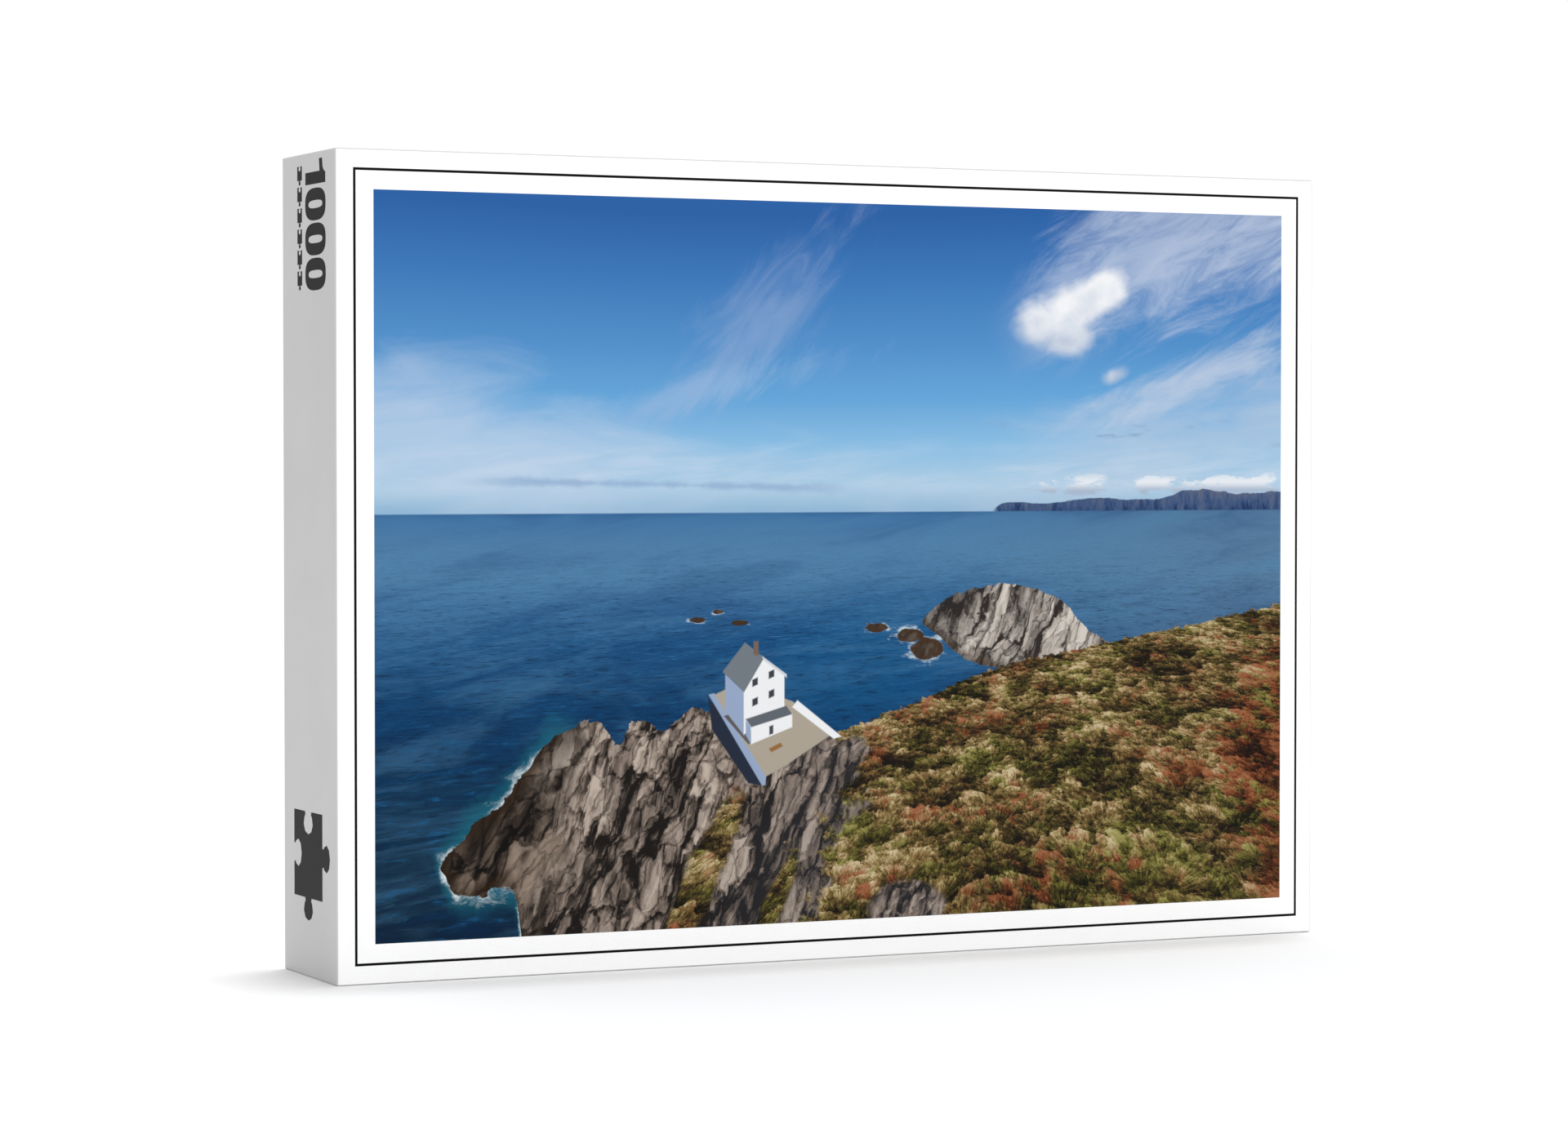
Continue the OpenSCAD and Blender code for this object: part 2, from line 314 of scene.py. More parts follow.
def paint_sky(k, p, x, y):
    """Deep blue above, pale at the horizon, with a heap cloud, wind-drawn streaks and thin veils."""
    height = (y - HORIZON) / (1 - HORIZON)
    deeper = k.patch(x, y, 0.5, 1.08, 0.7, 0.42)
    sky = k.ramp(height + k.step(deeper, 1.2, 0.0) * 0.07 - 0.01, [
        (0.0, ink(148, 187, 217)), (0.07, ink(176, 208, 231)), (0.2, ink(142, 193, 230)),
        (0.36, ink(103, 168, 220)), (0.55, ink(82, 145, 204)), (0.78, ink(60, 121, 187)),
        (1.0, ink(42, 98, 167))])
    soft = k.noise(k.place(x * 1.3, y * 4), 2.6, 7, 0.6, 0.6)
    drawn = k.noise(k.place(x * 1.1 + y * 0.6, y * 9 - x), 5, 7, 0.62, 0.5)
    veil = k.step(k.patch(x, y, 0.1, 0.665, 0.62, 0.115, -8) + (0.5 - soft) * 2.2, 1.15, 0.0)
    sky = k.mix(veil * (0.35 + drawn * 0.55), sky, ink(196, 213, 235))
    haze = k.step(k.patch(x, y, 1.35, 0.69, 0.55, 0.1, 12) + (0.5 - soft) * 2.2, 1.2, 0.0)
    sky = k.mix(haze * (0.3 + drawn * 0.6), sky, ink(190, 206, 226))
    low_veil = k.step(k.math("ABSOLUTE", y - 0.63), 0.05, 0.0) * k.step(drawn, 0.38, 0.7)
    sky = k.mix(low_veil * 0.6, sky, ink(200, 219, 238))

    along, across = k.turned(x, y, 0.94, 0.80, 27)
    combed = k.noise(k.place(along * 1.3, across * 5.5), 4.2, 9, 0.68, 0.9)
    spread = k.math("ABSOLUTE", across - along * 0.1) / (along * 0.3 + 0.05)
    streak = k.step(spread + (0.5 - combed) * 2.4, 1.25, 0.1) * k.step(along, -0.02, 0.16)
    sky = k.mix(streak * (0.25 + combed * 0.95), sky, ink(184, 199, 224))

    along, across = k.turned(x, y, 0.56, 0.83, 47)
    wisps = k.noise(k.place(along * 1.3, across * 5), 5, 8, 0.64, 0.8)
    wisp = k.step(k.patch(along, across, 0.0, 0.0, 0.2, 0.07) + (0.5 - wisps) * 2.6, 1.2, -0.1)
    sky = k.mix(wisp * 0.4, sky, ink(164, 184, 217))
    along, across = k.turned(x, y, 0.47, 0.735, 13)
    wisp = k.step(k.patch(along, across, 0.0, 0.0, 0.22, 0.03) + (0.5 - wisps) * 2.6, 1.2, -0.1)
    sky = k.mix(wisp * 0.5, sky, ink(160, 190, 226))
    along, across = k.turned(x, y, 1.27, 0.765, 17)
    band = k.step(k.patch(along, across, 0.0, 0.0, 0.24, 0.04) + (0.5 - combed) * 2.4, 1.15, 0.0)
    sky = k.mix(band * 0.75, sky, ink(200, 211, 229))

    billow = (k.noise(p, 11, 9, 0.56) - 0.5) * 1.7
    lobes = k.least(k.patch(x, y, 1.004, 0.836, 0.044, 0.03, 12), k.patch(x, y, 1.1, 0.88, 0.048, 0.028, 28))
    lobes = k.least(lobes, k.patch(x, y, 1.05, 0.855, 0.068, 0.036, 26))
    lobes = k.least(lobes, k.patch(x, y, 1.05, 0.818, 0.04, 0.03, 4) * 1.1)
    lobes = k.least(lobes, k.patch(x, y, 1.12, 0.763, 0.036, 0.02, 24) + 0.6)
    relief = k.noise(k.shift(p, (0.008, -0.014, 0)), 9, 5, 0.5) - k.noise(p, 9, 5, 0.5)
    shade = k.ramp(relief * 1.6 + (y - 0.85) * 4.0 + 0.62, [
        (0.2, ink(184, 197, 217)), (0.5, ink(220, 226, 236)), (0.8, ink(248, 249, 251))])
    sky = k.mix(k.step(lobes + billow, 1.35, 0.55) * 0.97, sky, shade)

    grains = k.noise(k.place(x * 0.6, y * 1.3), 30, 7, 0.62)
    low = k.step(k.math("ABSOLUTE", y - 0.606 - (x - 1.2) * 0.012), 0.028, 0.004) * k.step(x, 0.88, 1.05)
    tops = k.step(grains + low * 0.28, 0.69, 0.79) * low
    sky = k.mix(tops * 0.9, sky, k.mix(k.step(y, 0.597, 0.612), ink(170, 184, 205), ink(238, 241, 245)))
    tufts = k.noise(k.place(x * 0.5, y * 2.4), 13, 6, 0.62)
    tuft = k.step(tufts, 0.6, 0.7) * k.step(k.math("ABSOLUTE", y - 0.69), 0.06, 0.01) * k.step(x, 0.7, 0.84)
    sky = k.mix(tuft * 0.5, sky, ink(122, 148, 186))
    trail = k.math("ABSOLUTE", y - 0.6135 + (x - 0.2) * 0.022) + (k.noise(p, 16, 6, 0.62) - 0.5) * 0.022
    trail_there = k.patch_band(x, 0.1, 0.74, 0.14)
    return k.mix(k.step(trail, 0.009, 0.0) * trail_there * 0.75, sky, ink(146, 176, 212))


def paint_far_coast(k, p, x, y, u, under):
    """A blue-brown mountain coast on the horizon, at the right."""
    rough = k.noise(p, 30, 6, 0.6)
    ridge = HORIZON + k.curve(u, RIDGE) * (0.022 + rough * 0.018)
    gullies = k.noise(k.place(x * 2.6, y * 0.8), 32, 6, 0.7)
    colour = k.ramp(gullies + (y - HORIZON) * 6, [
        (0.4, ink(32, 54, 96)), (0.55, ink(62, 86, 126)), (0.72, ink(92, 102, 128)),
        (0.85, ink(110, 104, 112))])
    shown = k.step(y - ridge, 0.001, -0.001) * k.step(u, 0.66, 0.668)
    return k.mix(shown, under, colour)


def paint_sea(k, p, x, y, u):
    """Sea seen from a height: pale blue far off, dark and rippled close by."""
    depth = HORIZON - y
    sea = k.ramp(depth / HORIZON, [
        (0.0, ink(54, 104, 154)), (0.015, ink(64, 115, 163)), (0.08, ink(78, 126, 168)),
        (0.15, ink(78, 127, 168)), (0.22, ink(54, 104, 150)), (0.31, ink(26, 82, 130)),
        (0.47, ink(6, 58, 100)), (0.65, ink(2, 46, 78)),
        (0.82, ink(8, 42, 64)), (1.0, ink(2, 28, 50))])
    sea = k.mix(k.step(u, 0.5, 1.0) * 0.55, sea, ink(94, 125, 152))
    cove = k.step(k.patch(x, y, 0.74, 0.36, 0.3, 0.14, 12), 1.1, 0.2)
    sea = k.mix(cove * 0.7, sea, ink(12, 84, 134))
    away = depth + 0.045
    flat_x, flat_y = (x - 0.6) / away, 1.0 / away
    ripples = k.noise(k.place(flat_x * 0.8 + flat_y * 0.35, flat_y * 2.1 - flat_x * 0.35), 13, 7, 0.72, 0.6)
    swell = k.noise(k.place(flat_x * 0.9, flat_y * 1.6 - flat_x * 0.3), 3.6, 6, 0.66, 0.5)
    drifts = k.noise(k.place(x * 0.8, y * 4.5 - x * 0.6), 4.2, 6, 0.6, 0.8)
    waves = (ripples - 0.5) * 2.2 + (swell - 0.5) * 1.1
    calm = k.step(depth, -0.03, 0.16)
    sea = k.mix(k.step(drifts, 0.42, 0.7) * 0.35, sea, ink(84, 138, 178))
    sea = k.mix(k.step(drifts, 0.5, 0.3) * 0.3, sea, ink(14, 66, 116))
    sea = k.mix(k.step(waves, 0.02, -0.5) * calm * 0.8, sea, ink(3, 32, 64))
    crest = k.mix(k.step(depth, 0.08, 0.28), ink(92, 150, 192), ink(26, 100, 152))
    return k.mix(k.step(waves, 0.04, 0.62) * calm * 0.7, sea, crest)


def paint_foam(k, p, x, y, sea, shore):
    """White water along a shore: shore is 0 on the rocks and grows to seaward."""
    churn = k.noise(k.place(x * 1.0 + y * 0.5, y * 1.6 - x * 0.4), 20, 8, 0.74, 0.8)
    swash = k.noise(p, 9, 3, 0.6)
    sea = k.mix(k.step(shore + churn * 0.7, 1.1, 0.3) * 0.7, sea, ink(24, 104, 124))
    return k.mix(k.step(shore + churn * 1.7 - (swash - 0.5) * 2.6, 1.1, 0.55) * 0.92, sea, ink(222, 234, 238))


def paint_rock(k, x, y, degrees, size, tones):
    """Cleft rock lit from the upper right: blocks along its beds, each of its own tone, with dark joints."""
    along, across = k.turned(x, y, 0, 0, degrees)
    bend = k.noise(k.place(along, across), 5 * size, 5, 0.62) - 0.5
    bed = k.place(along * 0.4 + bend * 0.07, across + bend * 0.05)
    fine = k.noise(bed, 48 * size, 8, 0.72, 0.3)
    beside = k.shift(bed, (0.003 / size, -0.006 / size, 0))
    lit = k.noise(bed, 14 * size, 8, 0.62) - k.noise(beside, 14 * size, 8, 0.62)
    light = 0.6 + (fine - 0.5) * 0.9 + lit * 2.4
    for scale, weight in ((9, 0.28), (21, 0.3), (47, 0.22)):
        ragged = k.shift(bed, k.place(fine * 0.9 / (scale * size), bend * 0.8 / (scale * size)))
        tone = k.stones(ragged, scale * size)[0]
        joint = k.cells(ragged, scale * size, "DISTANCE_TO_EDGE")
        light = light + (tone - 0.5) * weight - k.step(joint, 0.09, 0.0) * weight
    return k.ramp(light, tones)


def paint_grass(k, x, y):
    """Autumn heath down a slope: fans of straw, olive and rust blades from dark roots, larger close by."""
    near = 1.0 / (0.62 - y * 0.85)
    gx, gy = (x - 0.9) * near, y * near * 1.25
    ground = k.place(gx, gy)
    fine = k.noise(ground, 46, 7, 0.74, 0.4)
    bend = k.place((fine - 0.5) * 0.05, (k.noise(ground, 13, 6, 0.66) - 0.5) * 0.14)
    light, hue = None, None
    for size in (6.5, 15.0, 31.0):
        tone, root = k.stones(k.shift(ground, bend), size)
        across, up, _ = k.parts(k.less(ground, root))
        angle = k.math("ARCTAN2", across, up + 0.62 / size)
        blades = k.noise(k.place(angle * 3.2, tone * 31, up * 6), 5.5, 6, 0.72)
        fan = (blades - 0.5) * 1.5 + up * size * 0.3 + (tone - 0.5) * 0.3
        light = fan if light is None else light * 0.72 + fan * 0.45
        hue = tone if hue is None else hue * 0.5 + tone * 0.5
    mounds = k.noise(ground, 2.6, 5, 0.6)
    light = light * 1.3 + 0.5 + (fine - 0.5) * 1.15 + (mounds - 0.5) * 1.3
    region = k.noise(k.shift(ground, (4.1, 1.3, 0)), 3.4, 6, 0.66)
    straw = k.ramp(light, [
        (0.16, ink(20, 15, 11)), (0.36, ink(62, 48, 27)), (0.52, ink(104, 84, 44)), (0.7, ink(156, 132, 84)),
        (0.92, ink(212, 194, 156))])
    rust = k.ramp(light, [
        (0.16, ink(20, 10, 8)), (0.36, ink(60, 28, 17)), (0.54, ink(104, 50, 27)), (0.8, ink(152, 84, 50))])
    olive = k.ramp(light, [
        (0.16, ink(16, 16, 8)), (0.36, ink(56, 52, 22)), (0.55, ink(96, 92, 38)), (0.8, ink(150, 146, 76))])
    heather = k.step(k.patch(x, y, 1.42, 0.2, 0.13, 0.22), 1.1, 0.3)
    fresh = k.step(k.patch(x, y, 1.12, 0.03, 0.26, 0.09), 1.2, 0.3)
    rusty = k.step(hue * 0.5 + region * 1.1 + (fine - 0.5) * 0.4 + heather * 0.4, 0.86, 1.04)
    green = k.step((1 - hue) * 0.5 + (1 - region) * 1.1 + (fine - 0.5) * 0.4 + fresh * 0.2, 0.8, 1.0)
    grass = k.mix(rusty * 0.9, straw, rust)
    return k.mix(green * 0.9, grass, olive)


def paint_cottage(k, p, under):
    """A white gabled cottage with a lean-to, on a walled yard, seen from above its front corner."""
    def panel(colour, *corners):
        nonlocal under
        under = k.mix(k.facet(p, list(corners)), under, colour)
    stone, lit, shaded = ink(176, 166, 150), ink(243, 244, 246), ink(152, 170, 200)
    panel(ink(36, 44, 62), (0.484, 0.316), (0.49, 0.272), (0.545, 0.196), (0.569, 0.192), (0.572, 0.215))
    panel(stone, (0.490, 0.318), (0.569, 0.2), (0.6, 0.218), (0.682, 0.257), (0.612, 0.308), (0.53, 0.335))
    panel(shaded, (0.485, 0.32), (0.566, 0.192), (0.571, 0.193), (0.572, 0.204), (0.493, 0.322))
    panel(lit, (0.612, 0.3), (0.676, 0.254), (0.688, 0.257), (0.62, 0.309))
    panel(ink(96, 92, 88), (0.508, 0.29), (0.545, 0.25), (0.575, 0.262), (0.54, 0.3))
    panel(shaded, (0.510, 0.297), (0.539, 0.262), (0.539, 0.327), (0.510, 0.354))
    panel(lit, (0.538, 0.264), (0.600, 0.290), (0.600, 0.345), (0.567, 0.368), (0.538, 0.327))
    panel(ink(116, 124, 132), (0.506, 0.351), (0.5385, 0.322), (0.569, 0.369), (0.540, 0.391))
    panel(ink(214, 218, 224), (0.566, 0.3715), (0.568, 0.366), (0.6035, 0.341), (0.6035, 0.3455))
    panel(ink(120, 100, 84), (0.553, 0.374), (0.5605, 0.372), (0.5605, 0.392), (0.553, 0.392))
    panel(shaded, (0.541, 0.263), (0.549, 0.25), (0.549, 0.274), (0.541, 0.284))
    panel(lit, (0.549, 0.25), (0.612, 0.272), (0.612, 0.291), (0.549, 0.274))
    panel(ink(98, 104, 112), (0.541, 0.285), (0.5495, 0.2735), (0.612, 0.29), (0.603, 0.302))
    for row, column in ((0, 0), (0, 1), (1, 0), (1, 1)):
        wx, wy = 0.551 + 0.025 * column, 0.302 + 0.0105 * column + 0.027 * row
        right = wx + 0.0085
        panel(ink(62, 66, 74), (wx, wy), (right, wy + 0.0035), (right, wy + 0.0135), (wx, wy + 0.01))
    panel(ink(70, 72, 78), (0.577, 0.262), (0.583, 0.264), (0.583, 0.276), (0.577, 0.274))
    panel(ink(150, 108, 62), (0.58, 0.238), (0.598, 0.246), (0.594, 0.251), (0.576, 0.243))
    return under


def paint_picture():
    """The whole picture as one node group: a place goes in, x from 0 to 1.4 and y from 0 to 1, and its colour
    comes out."""
    tree = bpy.data.node_groups.new("coast_picture", "ShaderNodeTree")
    tree.interface.new_socket("Place", in_out="INPUT", socket_type="NodeSocketVector")
    tree.interface.new_socket("Colour", in_out="OUTPUT", socket_type="NodeSocketColor")
    k = Kit(tree)
    p = k.node("NodeGroupInput").outputs[0]
    x, y, _ = k.parts(p)
    u = x / PICTURE_ASPECT

    picture = paint_far_coast(k, p, x, y, u, paint_sky(k, p, x, y))
    sea = paint_sea(k, p, x, y, u)

    jagged = (k.noise(p, 26, 7, 0.62, 0.4) - 0.5) * 0.045
    fuzzy = (k.noise(p, 95, 4, 0.6) - 0.5) * 0.02
    fray = k.step(u, 0.44, 0.5)
    top = k.curve(u, LAND_TOP) + jagged * (1 - fray) + fuzzy * fray
    foot = k.curve(u, LAND_FOOT) + jagged
    seaward = k.most(y - top, foot - y)
    shore = k.most(seaward, 0.0) * 17 + k.step(u, 0.17, 0.24)
    sea = paint_foam(k, p, x, y, sea, shore)

    isle_top = k.curve(u, ISLE_TOP) + jagged * 0.6
    isle_foot = k.curve(u, ISLE_FOOT) + jagged * 0.4
    isle_out = k.most(y - isle_top, isle_foot - y)
    isle = paint_rock(k, x, y, 58, 1.35, [
        (0.1, ink(48, 42, 39)), (0.34, ink(116, 109, 103)), (0.54, ink(170, 161, 152)),
        (0.8, ink(214, 206, 196))])
    isle = k.mix(k.step(u + (jagged - y) * 0.35, 0.515, 0.46) * 0.6, isle, ink(40, 36, 36))
    isle = k.mix(k.step(y - isle_foot, 0.02, 0.0) * 0.7, isle, ink(58, 42, 26))
    rocks = k.patch(x, y, 0.742, 0.408, 0.016, 0.006)
    for cx, cy, rx, ry in ((0.795, 0.396, 0.02, 0.009), (0.822, 0.377, 0.024, 0.015),
                           (0.468, 0.423, 0.012, 0.004), (0.532, 0.418, 0.013, 0.0035),
                           (0.5, 0.434, 0.008, 0.003)):
        rocks = k.least(rocks, k.patch(x, y, cx, cy, rx, ry))
    ragged = (k.noise(p, 60, 5, 0.6) - 0.5) * 1.4
    drift = (k.noise(k.place(x * 0.7, y * 2.2), 34, 6, 0.66) - 0.5) * 3.6
    spray = k.step(rocks * 0.85 + ragged * 1.4 + drift, 1.15, 0.4)
    sea = k.mix(spray * 0.8, sea, ink(206, 224, 234))
    wet_rock = k.mix(k.step(ragged, -0.2, 0.2), ink(70, 48, 32), isle)
    sea = k.mix(k.step(rocks + ragged * 0.6, 1.1, 0.95), sea, wet_rock)
    sea = k.mix(k.step(isle_out, 0.0012, -0.0012), sea, isle)
    picture = k.mix(k.step(y, HORIZON + 0.0012, HORIZON - 0.0012), picture, sea)

    blocks = paint_rock(k, x, y, 52, 0.8, [
        (0.14, ink(14, 11, 9)), (0.36, ink(54, 45, 39)), (0.56, ink(92, 79, 69)), (0.85, ink(148, 131, 116))])
    beds = paint_rock(k, x, y, 64, 1.15, [
        (0.14, ink(26, 22, 20)), (0.34, ink(84, 74, 67)), (0.54, ink(138, 123, 112)),
        (0.82, ink(194, 179, 165))])
    shift = (k.noise(p, 7, 4, 0.6) - 0.5) * 0.22
    rock = k.mix(k.step(x - y * 0.25 + shift, 0.16, 0.3), blocks, beds)
    rock = k.mix(k.step(x - y * 0.45 + shift, 0.42, 0.56) * 0.25, rock, ink(60, 62, 70))
    wet = k.step(k.most(seaward * -1.0, 0.0) + shift * 0.08, 0.035, 0.0) * k.step(u, 0.24, 0.15)
    rock = k.mix(wet * 0.65, rock, ink(50, 34, 20))
    patchy = (k.noise(p, 24, 6, 0.66) - 0.5) * 0.34 + shift * 0.8
    outcrop = k.step(k.patch(x, y, 0.79, 0.015, 0.075, 0.045) + patchy, 0.7, 0.9)
    grown = k.step(x - y * 0.42 + patchy, 0.6, 0.64) * outcrop
    moss = k.least(k.patch(x, y, 0.475, 0.07, 0.035, 0.16, -25),
                   k.patch(x, y, 0.585, 0.03, 0.02, 0.1, -25))
    moss = k.step(moss + patchy * 2.4, 0.9, 0.6)
    land = k.mix(k.most(grown, moss), rock, paint_grass(k, x, y))
    picture = k.mix(k.step(seaward, 0.001, -0.001), picture, land)
    picture = paint_cottage(k, p, picture)
    ink_weight = (0.87, 0.87, 0.87, 1)
    printed = k.mix(1.0, picture, ink_weight, "MULTIPLY")
    k.plug(printed, k.node("NodeGroupOutput").inputs[0])
    return tree


COAST = paint_picture()


# ------------------------------------------------------------------ materials

def new_material(name, roughness, colour=(0.8, 0.8, 0.8, 1)):
    """A material with its shader, and a kit that adds nodes to it."""
    material = bpy.data.materials.new(name)
    material.use_nodes = True
    shader = material.node_tree.nodes["Principled BSDF"]
    shader.inputs["Base Color"].default_value = colour
    shader.inputs["Roughness"].default_value = roughness
    shader.inputs["Specular IOR Level"].default_value = 0.3
    material.diffuse_color = colour
    return material, shader, Kit(material.node_tree)


def object_place(k):
    """The place on the piece, in its own coordinates."""
    return k.node("ShaderNodeTexCoord").outputs["Object"]


def add_bump(k, shader, height, distance, strength=1.0):
    """Relief from a height, which is worth distance for each unit."""
    bump = k.node("ShaderNodeBump")
    bump.inputs["Distance"].default_value = distance
    bump.inputs["Strength"].default_value = strength
    k.plug(height, bump.inputs["Height"])
    k.plug(bump.outputs[0], shader.inputs["Normal"])


def surface(k, shader, colour, roughness):
    """Plugs in a surface's colour and roughness."""
    k.plug(colour, shader.inputs["Base Color"])
    k.plug(roughness, shader.inputs["Roughness"])


def picture_at(k, place):
    """The coast picture's colour at a place."""
    group = k.node("ShaderNodeGroup", node_tree=COAST)
    k.plug(place, group.inputs[0])
    return group.outputs[0]


def lid_front_print():
    """Matt laminated white paper with the black line frame and the picture."""
    material, shader, k = new_material("lid_front_print", 0.5)
    shader.inputs["Specular IOR Level"].default_value = 0.06
    p = object_place(k)
    x, _, z = k.parts(p)
    left, bottom = LID_LO.x + PICTURE_INSET, LID_LO.z + PICTURE_INSET
    picture = picture_at(k, k.place((x - left) / PICTURE_H, (z - bottom) / PICTURE_H))
    mid_x, mid_z = (LID_LO.x + LID_HI.x) / 2, (LID_LO.z + LID_HI.z) / 2
    from_edge = k.least((LID_HI.x - LID_LO.x) / 2 - k.math("ABSOLUTE", x - mid_x),
                        (LID_HI.z - LID_LO.z) / 2 - k.math("ABSOLUTE", z - mid_z))
    soft = 0.08 * MM
    line = k.step(k.math("ABSOLUTE", from_edge - LINE_INSET), LINE_WIDTH / 2 + soft, LINE_WIDTH / 2 - soft)
    tooth = k.noise(p, 1400, 3, 0.6)
    white = k.ramp(tooth, [(0.3, ink(250, 250, 250)), (0.7, ink(254, 254, 254))])
    printed = k.mix(line, white, ink(5, 5, 6))
    printed = k.mix(k.step(from_edge, PICTURE_INSET - soft, PICTURE_INSET + soft), printed, picture)
    surface(k, shader, printed, 0.44 + tooth * 0.14)
    add_bump(k, shader, tooth, 0.02 * MM, 0.5)
    return material


def coated_paper(name, colour, worn):
    """Plain coated paper with a fine tooth and faint cloudiness."""
    material, shader, k = new_material(name, 0.5)
    p = object_place(k)
    tooth = k.noise(p, 1400, 3, 0.6)
    cloud = k.noise(p, 26, 4, 0.55)
    tone = k.mix(k.step(cloud + (tooth - 0.5) * 0.4, 0.25, 0.8), colour, worn)
    surface(k, shader, tone, 0.46 + tooth * 0.14)
    add_bump(k, shader, tooth + cloud * 0.6, 0.02 * MM, 0.6)
    return material


def plain_paper():
    """Uncoated white lining paper, with pulp fibres that show."""
    material, shader, k = new_material("tray_paper", 0.75)
    p = object_place(k)
    x, y, z = k.parts(p)
    fibres = k.noise(k.place(x * 0.35, y, z * 1.3), 900, 6, 0.7, 1.5)
    cloud = k.noise(p, 40, 4, 0.6)
    tone = k.ramp(fibres * 0.85 + cloud * 0.15, [
        (0.3, ink(222, 221, 217)), (0.5, ink(232, 231, 228)), (0.7, ink(239, 238, 235))])
    surface(k, shader, tone, 0.66 + fibres * 0.2)
    add_bump(k, shader, fibres, 0.05 * MM, 0.6)
    return material


def greyboard():
    """Raw recycled board: warm grey, with dark and pale flecks, short fibres and a felt-like surface."""
    material, shader, k = new_material("greyboard", 0.9)
    p = object_place(k)
    x, y, z = k.parts(p)
    fibres = k.noise(k.place(x * 0.5, y * 0.8, z * 1.6), 700, 7, 0.72, 2.0)
    cloud = k.noise(p, 55, 5, 0.62)
    tone = k.ramp(fibres * 0.7 + cloud * 0.3, [
        (0.3, ink(134, 128, 118)), (0.5, ink(156, 150, 140)), (0.68, ink(176, 170, 160))])
    flecks = k.cells(p, 420)
    sparse = k.noise(k.shift(p, (3.1, 0.4, 1.7)), 300, 2, 0.5)
    tone = k.mix(k.step(flecks, 0.16, 0.08) * k.step(sparse, 0.5, 0.56), tone, ink(70, 66, 62))
    pale = k.cells(k.shift(p, (0.7, 2.2, 5.0)), 360)
    tone = k.mix(k.step(pale, 0.16, 0.08) * k.step(sparse, 0.5, 0.44), tone, ink(214, 208, 196))
    surface(k, shader, tone, 0.82 + fibres * 0.14)
    add_bump(k, shader, fibres + cloud, 0.09 * MM, 0.8)
    return material


def kraft_paper():
    """Brown kraft tape with the fine ribs of its making."""
    material, shader, k = new_material("kraft_paper", 0.7)
    p = object_place(k)
    x, y, z = k.parts(p)
    ribs = k.noise(k.place(x * 3.0, y * 0.15, z * 3.0), 420, 4, 0.6, 0.5)
    tone = k.ramp(ribs * 0.6 + k.noise(p, 70, 4, 0.6) * 0.4, [
        (0.35, ink(150, 112, 70)), (0.5, ink(178, 139, 92)), (0.68, ink(201, 166, 118))])
    surface(k, shader, tone, 0.6 + ribs * 0.2)
    add_bump(k, shader, ribs, 0.05 * MM, 0.7)
    return material


def black_ink():
    """Dense printing ink, with the paper's tooth showing faintly through it."""
    material, shader, k = new_material("black_ink", 0.5)
    shader.inputs["Specular IOR Level"].default_value = 0.08
    tooth = k.noise(object_place(k), 1400, 3, 0.6)
    surface(k, shader, k.ramp(tooth, [(0.3, ink(10, 10, 9)), (0.72, ink(22, 22, 20))]), 0.4 + tooth * 0.16)
    return material


def piece_face():
    """The printed side of a puzzle piece: its own part of the picture, under a fine linen emboss."""
    material, shader, k = new_material("piece_face", 0.4)
    place = k.node("ShaderNodeUVMap", uv_map="picture").outputs[0]
    across, up, _ = k.parts(place)
    weave = 2600
    threads = k.math("SINE", across * weave) * 0.5 + k.math("SINE", up * weave) * 0.5
    surface(k, shader, picture_at(k, place), 0.36 + threads * 0.05)
    add_bump(k, shader, threads, 0.03 * MM, 0.5)
    return material


def piece_back():
    """The plain blue-grey back of a puzzle piece."""
    material, shader, k = new_material("piece_back", 0.8)
    p = object_place(k)
    fibres = k.noise(p, 800, 6, 0.7, 1.5)
    tone = k.ramp(fibres, [(0.3, ink(120, 130, 138)), (0.5, ink(146, 155, 161)), (0.7, ink(170, 177, 181))])
    surface(k, shader, tone, 0.74 + fibres * 0.16)
    add_bump(k, shader, fibres, 0.06 * MM, 0.7)
    return material


def clear_film():
    """Clear crinkled film: mostly see-through, whiter where it is crimped or creased."""
    material, shader, k = new_material("clear_film", 0.12, (0.96, 0.98, 1.0, 1))
    p = object_place(k)
    _, _, z = k.parts(p)
    crinkle = k.noise(p, 60, 6, 0.65, 1.0)
    seal = k.step(z, BAG_HI.z - 11 * MM, BAG_HI.z - 9 * MM)
    rib_pitch = 1.1 * MM
    ribs = k.math("SINE", z * (2 * math.pi / rib_pitch)) * seal
    shader.inputs["Specular IOR Level"].default_value = 0.6
    k.plug(0.12 + k.step(crinkle, 0.52, 0.75) * 0.2 + seal * 0.26, shader.inputs["Alpha"])
    k.plug(0.1 + crinkle * 0.14, shader.inputs["Roughness"])
    add_bump(k, shader, crinkle + ribs * 0.25, 0.5 * MM, 0.7)
    return material


FRONT_PRINT = lid_front_print()
# The sides' grey is partly light grey paper and partly painted shade: it keeps the sides darker than the white
# front under any light.
SIDE_GREY_AND_SHADE = coated_paper("lid_side_paper", ink(200, 200, 200), ink(205, 205, 205))
TRAY_PAPER = plain_paper()
GREYBOARD = greyboard()
KRAFT = kraft_paper()
BLACK_INK = black_ink()
PIECE_FACE = piece_face()
PIECE_BACK = piece_back()
CLEAR_FILM = clear_film()


# ------------------------------------------------------------------ shapes

def finish_piece(name, bm, materials, body, stands_for=(), smooth=None):
    """Makes the shape a piece that rides on a body, and hides the CAD nodes it stands for."""
    mesh = bpy.data.meshes.new(name)
    bm.to_mesh(mesh)
    bm.free()
    for material in materials:
        mesh.materials.append(material)
    piece = bpy.data.objects.new(name, mesh)
    bpy.context.scene.collection.objects.link(piece)
    if smooth is not None:
        mesh.shade_smooth()
        mesh.set_sharp_from_angle(angle=math.radians(smooth))
    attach(piece, body)
    if stands_for:
        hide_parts(*stands_for)
    return piece


